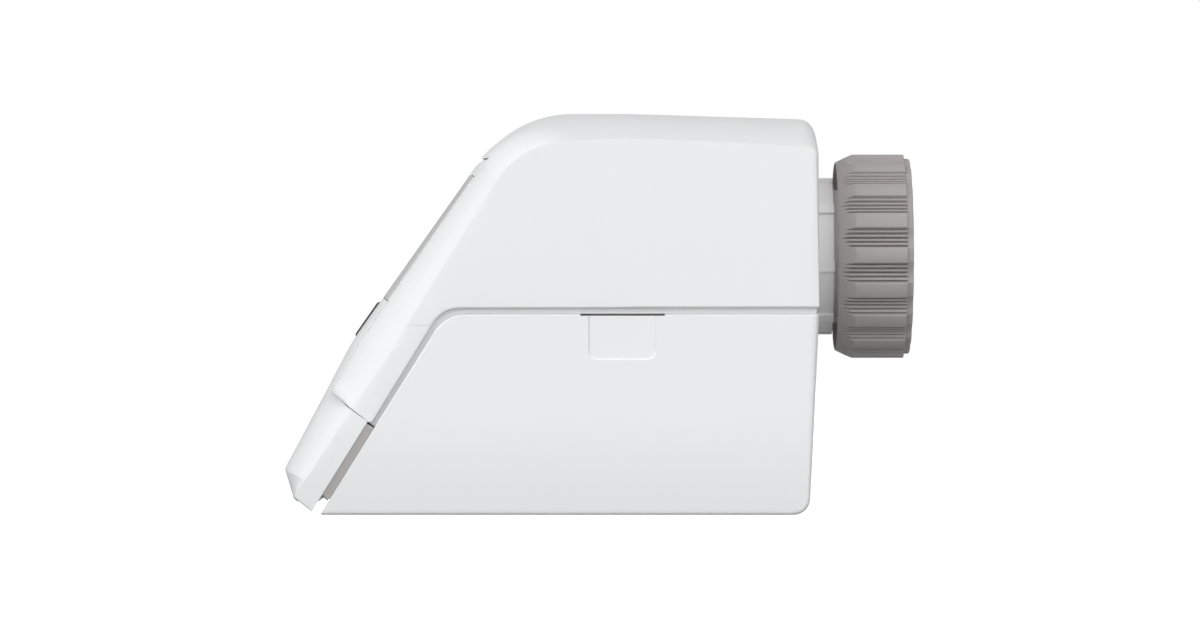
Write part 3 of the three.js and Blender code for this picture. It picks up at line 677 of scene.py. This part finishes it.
def mode_button():
    """A round key with a domed top and a flange behind the front wall."""
    radius, dome = BUTTON["radius"], 0.35
    profile = [(4.0, 0.02), (4.0, 2.0), (2.9, 2.0), (2.9, radius + 0.9), (2.1, radius + 0.9), (2.1, radius)]
    for k in range(9):
        a = math.radians(90 * k / 8)
        profile.append((dome - dome * math.sin(a), radius - 0.5 * (1 - math.cos(a))))
    profile += [(-0.12, radius * 0.6), (-0.18, 0.02)]
    return turned("mode_key", profile, 72, None, GRIP_FACE @ at(0, 0, BUTTON["up"]))


# ---------- the union nut ----------
LOBES = 18
GROOVES = 5  # fine grooves in each hollow between two lobes
LOBE_SHARE = 0.4
LOBE_DROP = 0.1  # from a lobe's middle to its side
HOLLOW_DEPTH = 0.5
GROOVE_DEPTH = 0.58
LIP_DROP = 0.75  # from a lobe's middle to the lip at the nut's end
LIP_WAVE = 0.45  # how much further in the lip lies at a hollow
BORE = {"radius": 14.2, "start": 40.2, "thread_start": 41.2, "pitch": 1.5, "depth": 0.5}
COLLAR = {"radius": 11.2, "x": 39.5}  # the nut's inward rim, which catches the spigot's flange
CONE_START = (NUT_START_X + 0.35, 15.35)
CONE_RISE = 0.5
LIP_X = NUT_END_X - 1.0


def nut_surface(angle):
    """The outside's radius at an angle, and the lip's: smooth lobes with grooved hollows between them."""
    phase = abs((angle * LOBES / (2 * math.pi) + 0.5) % 1.0 - 0.5) * 2
    if phase < LOBE_SHARE:
        return NUT_RADIUS - LOBE_DROP * (phase / LOBE_SHARE) ** 2, NUT_RADIUS - LIP_DROP
    share = (phase - LOBE_SHARE) / (1 - LOBE_SHARE)  # 0 beside the lobe, 1 in the middle of the hollow
    hollow = math.sin(math.pi / 2 * share)
    wave = 0.5 - 0.5 * math.cos(2 * math.pi * (share * GROOVES / 2))
    groove = GROOVE_DEPTH * wave**2.6
    outer = NUT_RADIUS - LOBE_DROP - HOLLOW_DEPTH * hollow - groove
    return outer, NUT_RADIUS - LIP_DROP - LIP_WAVE * hollow


def thread_ridges(radius, start, end, pitch, depth):
    """Profile points of a thread's ridges, from start to end along X."""
    ridge = [(0.0, radius), (0.15, radius), (0.5, radius - depth), (0.6, radius - depth), (0.95, radius)]
    points = []
    for k in range(int((end - start) / pitch)):
        x = start + k * pitch
        points += [(x + share * pitch, r) for share, r in ridge]
    return points


def nut_profile(angle):
    outer, lip = nut_surface(angle)
    cone_x = CONE_START[0] + (outer - CONE_START[1]) / CONE_RISE
    bore, inner_x = BORE["radius"], BORE["start"]
    near_start = NUT_START_X + 0.05
    start_face = [(near_start, 14.95), (NUT_START_X, 15.05), (near_start, 15.2), CONE_START]
    shoulder = [
        (cone_x - 0.2, outer - 0.2 * CONE_RISE), (cone_x - 0.04, outer - 0.04), (cone_x + 0.14, outer),
    ]
    rim = [(LIP_X - 0.15, outer), (LIP_X - 0.04, outer - 0.04), (LIP_X, outer - 0.15), (LIP_X, lip + 0.02)]
    end_face = [
        (LIP_X + 0.1, lip), (NUT_END_X - 0.35, lip), (NUT_END_X - 0.1, lip - 0.1),
        (NUT_END_X, lip - 0.35), (NUT_END_X, bore + 0.8), (NUT_END_X - 0.8, bore),
    ]
    thread_end = NUT_END_X - 1.0
    thread = reversed(thread_ridges(bore, BORE["thread_start"], thread_end, BORE["pitch"], BORE["depth"]))
    inside = [
        (40.9, bore), (40.25, bore), (inner_x, bore - 0.1), (inner_x, COLLAR["radius"]),
        (COLLAR["x"], COLLAR["radius"]), (COLLAR["x"], 14.5), (39.4, 14.6),
    ]
    return [*start_face, *shoulder, *rim, *end_face, *thread, *inside]


def union_nut():
    rings = []
    steps = LOBES * 72
    for k in range(steps):
        angle = 2 * math.pi * k / steps
        c, s = math.cos(angle), math.sin(angle)
        rings.append([(x, r * c, r * s + AXIS_Z) for x, r in nut_profile(angle)])
    return loft("union_nut_ring", rings, caps=False)


# ---------- the spigot that carries the nut ----------
RIBS = 8
RIB_TURN = 8  # degrees from straight up to the first rib
RIB_RISE = 0.45


def valve_adapter():
    throat = 40.5
    profile = [
        (32, 7), (32, SPIGOT_RADIUS - 0.3), (32.3, SPIGOT_RADIUS),
        (37.4, SPIGOT_RADIUS), (37.6, SPIGOT_RADIUS - 0.2), (37.6, 10.8),
        (throat, 10.8), (throat, 13.2), (throat + 0.2, 13.4), (42.0, 13.4), (42.2, 13.2),
        (42.2, 9.3), (42.0, 9.1), (34.6, 9.1), (34.6, 7),
    ]
    obj = turned("spigot_tube", profile, 192)
    for k in range(RIBS):
        turn = Matrix.Rotation(math.radians(k * 360 / RIBS + RIB_TURN), 4, "X")
        add(obj, block((34.9, -0.9, SPIGOT_RADIUS - 0.6), (37.6, 0.9, SPIGOT_RADIUS + RIB_RISE), turn, 0.1))
    obj.data.transform(at(0, 0, AXIS_Z))
    return obj


# ---------- surface finishes ----------
def new_material(name):
    material = bpy.data.materials.new(name)
    material.use_nodes = True
    tree = material.node_tree
    shader = tree.nodes["Principled BSDF"]
    place = tree.nodes.new("ShaderNodeTexCoord").outputs["Object"]
    return material, tree, shader, place


def noise(tree, place, scale, detail=3.0, roughness=0.5):
    made = tree.nodes.new("ShaderNodeTexNoise")
    made.inputs["Scale"].default_value = scale
    made.inputs["Detail"].default_value = detail
    made.inputs["Roughness"].default_value = roughness
    tree.links.new(place, made.inputs["Vector"])
    return made.outputs["Fac"]


def spread(tree, value, low, high):
    """Stretches the middle of a noise's range from low to high."""
    made = tree.nodes.new("ShaderNodeMapRange")
    made.inputs["From Min"].default_value = 0.3
    made.inputs["From Max"].default_value = 0.7
    made.inputs["To Min"].default_value = low
    made.inputs["To Max"].default_value = high
    tree.links.new(value, made.inputs["Value"])
    return made.outputs["Result"]


def two_tone(tree, value, first, second):
    made = tree.nodes.new("ShaderNodeMix")
    made.data_type = "RGBA"
    made.inputs["A"].default_value = (*first, 1)
    made.inputs["B"].default_value = (*second, 1)
    tree.links.new(value, made.inputs["Factor"])
    return made.outputs["Result"]


def bump(tree, shader, height, distance, strength=1.0):
    made = tree.nodes.new("ShaderNodeBump")
    made.inputs["Distance"].default_value = distance * MM
    made.inputs["Strength"].default_value = strength
    tree.links.new(height, made.inputs["Height"])
    tree.links.new(made.outputs["Normal"], shader.inputs["Normal"])


def moulded(name, colour, roughness, grain=0.25, depth=0.004, tint=0.02, specular=0.5, coat=0.0):
    """Moulded plastic: a fine grain, slow changes of gloss, and a trace of colour change."""
    material, tree, shader, place = new_material(name)
    darker = tuple(c * (1 - tint) for c in colour)
    lighter = tuple(min(c * (1 + tint), 1) for c in colour)
    slow = noise(tree, place, 60.0, 2.0)
    tree.links.new(two_tone(tree, slow, darker, lighter), shader.inputs["Base Color"])
    gloss = spread(tree, noise(tree, place, 220.0, 4.0), roughness - 0.03, roughness + 0.03)
    tree.links.new(gloss, shader.inputs["Roughness"])
    bump(tree, shader, noise(tree, place, 1000.0 / grain, 2.0, 0.6), depth, 0.6)
    shader.inputs["Specular IOR Level"].default_value = specular
    shader.inputs["Coat Weight"].default_value = coat
    return material


def steel(name, colour, roughness):
    """Drawn metal, with streaks across Z."""
    material, tree, shader, place = new_material(name)
    mapping = tree.nodes.new("ShaderNodeMapping")
    mapping.inputs["Scale"].default_value = (1, 1, 12)
    tree.links.new(place, mapping.inputs["Vector"])
    streak = noise(tree, mapping.outputs["Vector"], 900.0, 5.0)
    shade = tuple(c * 0.82 for c in colour)
    tree.links.new(two_tone(tree, streak, shade, colour), shader.inputs["Base Color"])
    tree.links.new(spread(tree, streak, roughness - 0.08, roughness + 0.1), shader.inputs["Roughness"])
    shader.inputs["Metallic"].default_value = 1.0
    bump(tree, shader, streak, 0.004, 0.4)
    return material


def circuit_board(name):
    """Green solder mask over copper tracks, which show as paler, slightly raised lines."""
    material, tree, shader, place = new_material(name)
    tracks = tree.nodes.new("ShaderNodeTexBrick")
    tracks.inputs["Scale"].default_value = 1.0
    tracks.inputs["Brick Width"].default_value = 0.0042
    tracks.inputs["Row Height"].default_value = 0.0013
    tracks.inputs["Mortar Size"].default_value = 0.00022
    tree.links.new(place, tracks.inputs["Vector"])
    line = tracks.outputs["Fac"]
    colour = two_tone(tree, line, (0.012, 0.12, 0.045), (0.03, 0.2, 0.07))
    tree.links.new(colour, shader.inputs["Base Color"])
    shader.inputs["Roughness"].default_value = 0.35
    bump(tree, shader, line, 0.03, 0.6)
    return material


def battery_wrap(name, node_name):
    """A shrunk sleeve: dark over most of its length, with a bright band towards one end."""
    low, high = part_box(node_name)
    material, tree, shader, place = new_material(name)
    split = tree.nodes.new("ShaderNodeSeparateXYZ")
    tree.links.new(place, split.inputs["Vector"])
    band = tree.nodes.new("ShaderNodeMath")
    band.operation = "GREATER_THAN"
    band.inputs[1].default_value = low[0] + (high[0] - low[0]) * 0.7
    tree.links.new(split.outputs["X"], band.inputs[0])
    colour = two_tone(tree, band.outputs["Value"], (0.03, 0.035, 0.045), (0.6, 0.42, 0.16))
    tree.links.new(colour, shader.inputs["Base Color"])
    gloss = spread(tree, noise(tree, place, 500.0, 3.0), 0.2, 0.32)
    tree.links.new(gloss, shader.inputs["Roughness"])
    bump(tree, shader, noise(tree, place, 1500.0, 2.0), 0.006, 0.5)
    return material


def lens_material():
    """A silvered, half-mirrored window."""
    material, tree, shader, place = new_material("display_window")
    shade = noise(tree, place, 40.0, 1.0)
    colour = two_tone(tree, shade, (0.60, 0.60, 0.605), (0.63, 0.63, 0.635))
    tree.links.new(colour, shader.inputs["Base Color"])
    shader.inputs["Roughness"].default_value = 0.06
    shader.inputs["Metallic"].default_value = 0.2
    shader.inputs["Coat Weight"].default_value = 0.6
    bump(tree, shader, noise(tree, place, 90.0, 1.0), 0.003, 0.3)
    return material


WHITE = moulded("white_plastic", (0.80, 0.81, 0.815), 0.33, depth=0.003, tint=0.006, specular=0.45)
GREY = moulded("grey_plastic", (0.355, 0.33, 0.33), 0.52, grain=0.18, depth=0.006, tint=0.03)
PALE = moulded("pale_grey_plastic", (0.58, 0.575, 0.57), 0.42, tint=0.015)
SPIGOT = moulded("spigot_plastic", (0.88, 0.865, 0.87), 0.45, tint=0.01)
STRIP = moulded("strip_grey_plastic", (0.39, 0.375, 0.37), 0.5, tint=0.02)
DARK = moulded("dark_plastic", (0.03, 0.031, 0.034), 0.45, grain=0.2, depth=0.006, tint=0.08)
NATURAL = moulded("natural_plastic", (0.74, 0.7, 0.6), 0.38, tint=0.02)
STEEL = steel("steel", (0.56, 0.57, 0.58), 0.32)
BOARD = circuit_board("circuit_board")
WINDOW = lens_material()
GLASS = moulded("lcd_glass", (0.28, 0.31, 0.27), 0.12, grain=0.5, depth=0.001, tint=0.03, coat=0.5)


# ---------- pieces that stand for CAD nodes ----------
def finished(piece, name, node_name, body, material, crease=32):
    """Names a piece, smooths it between its creases, and ties it to the frame."""
    piece.name = name
    piece.data.name = name
    piece.data.materials.clear()
    piece.data.materials.append(material)
    piece.data.polygons.foreach_set("use_smooth", [True] * len(piece.data.polygons))
    piece.data.set_sharp_from_angle(angle=math.radians(crease))
    modifier = piece.modifiers.new("normals", "WEIGHTED_NORMAL")
    modifier.keep_sharp = True
    apply_modifiers(piece)
    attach(piece, body)
    if node_name:
        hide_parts(node_name)
    return piece


finished(upper_housing(), "housing_shell", "upper_housing", "housing", WHITE)
finished(housing_lip(), "housing_lip", None, "housing", WHITE)
finished(battery_cover(), "cover_shell", "battery_cover", "cover", WHITE)
finished(display_frame(), "front_frame", "display_frame", "display", WHITE)
finished(rear_plate(), "back_plate", "display_rear_cover", "display", STRIP)
finished(display_lens(), "front_window", "display_lens", "display", WINDOW)
finished(setting_dial(), "thumbwheel", "setting_dial", "dial", DARK)
finished(mode_button(), "mode_key", "mode_button", "button", PALE)
finished(union_nut(), "union_nut_ring", "union_nut", "nut", GREY, 40)
finished(valve_adapter(), "spigot_tube", "valve_adapter", "adapter", SPIGOT)

# ---------- finishes of the CAD nodes that stay ----------
FINISHES = {
    "white_plastic": WHITE,
    "grey_plastic": STRIP,
    "pale_grey_plastic": PALE,
    "dark_plastic": DARK,
    "natural_plastic": NATURAL,
    "steel": STEEL,
    "circuit_board": BOARD,
    "display_window": WINDOW,
    "lcd": GLASS,
}
for entry in frame["record"]["subparts"]:
    obj = frame["nodes"][entry["node"]]
    slot = entry["material_slot"]
    material = FINISHES[slot] if slot in FINISHES else battery_wrap(f"wrap_{obj.name}", entry["node"])
    for k in range(max(len(obj.material_slots), 1)):
        if not obj.material_slots:
            obj.data.materials.append(material)
        obj.material_slots[k].material = material

# ---------- floor, surroundings and light ----------
def camera_rays_only(tree, seen, unseen):
    """The colour the camera sees directly, and the one that lights the object."""
    path = tree.nodes.new("ShaderNodeLightPath")
    made = tree.nodes.new("ShaderNodeMix")
    made.data_type = "RGBA"
    made.inputs["A"].default_value = (*unseen, 1)
    made.inputs["B"].default_value = (*seen, 1)
    tree.links.new(path.outputs["Is Camera Ray"], made.inputs["Factor"])
    return made


REACH = 6000.0
FLOOR_Z = -48.0  # low enough for the battery cover to slide off above it
floor_mesh = bpy.data.meshes.new("floor")
floor_corners = [(-REACH, -REACH), (REACH, -REACH), (REACH, REACH), (-REACH, REACH)]
floor_mesh.from_pydata([(x * MM, y * MM, FLOOR_Z * MM) for x, y in floor_corners], [], [(0, 1, 2, 3)])
floor = bpy.data.objects.new("floor", floor_mesh)
bpy.context.scene.collection.objects.link(floor)
floor_material, floor_tree, floor_shader, _ = new_material("floor")
floor_shader.inputs["Base Color"].default_value = (0.42, 0.42, 0.42, 1)
floor_shader.inputs["Roughness"].default_value = 0.95
floor_shader.inputs["Specular IOR Level"].default_value = 0.0
floor_glow = camera_rays_only(floor_tree, (0.95, 0.95, 0.95), (0.0, 0.0, 0.0))
floor_tree.links.new(floor_glow.outputs["Result"], floor_shader.inputs["Emission Color"])
floor_shader.inputs["Emission Strength"].default_value = 1.0
floor_mesh.materials.append(floor_material)


def studio_world(toward, low, high):
    """A white room whose light grows smoothly towards one direction."""
    world = bpy.data.worlds.new("studio")
    bpy.context.scene.world = world
    world.use_nodes = True
    tree = world.node_tree
    place = tree.nodes.new("ShaderNodeTexCoord").outputs["Generated"]
    dot = tree.nodes.new("ShaderNodeVectorMath")
    dot.operation = "DOT_PRODUCT"
    dot.inputs[1].default_value = Vector(toward).normalized()
    tree.links.new(place, dot.inputs[0])
    ramp = tree.nodes.new("ShaderNodeMapRange")
    ramp.interpolation_type = "SMOOTHSTEP"
    ramp.inputs["From Min"].default_value = -0.1
    ramp.inputs["From Max"].default_value = 1.0
    ramp.inputs["To Min"].default_value = low
    ramp.inputs["To Max"].default_value = high
    tree.links.new(dot.outputs["Value"], ramp.inputs["Value"])
    light = tree.nodes["Background"]
    tree.links.new(ramp.outputs["Result"], light.inputs["Strength"])
    seen = tree.nodes.new("ShaderNodeBackground")
    path = tree.nodes.new("ShaderNodeLightPath")
    mix = tree.nodes.new("ShaderNodeMixShader")
    tree.links.new(path.outputs["Is Camera Ray"], mix.inputs["Fac"])
    tree.links.new(light.outputs["Background"], mix.inputs[1])
    tree.links.new(seen.outputs["Background"], mix.inputs[2])
    light.inputs["Color"].default_value = (1, 1, 1, 1)
    seen.inputs["Color"].default_value = (1, 1, 1, 1)
    seen.inputs["Strength"].default_value = 1.0
    tree.links.new(mix.outputs["Shader"], tree.nodes["World Output"].inputs["Surface"])


studio_world((-0.28, -1.0, 0.1), 0.47, 2.0)
bpy.context.scene.view_settings.view_transform = "Standard"
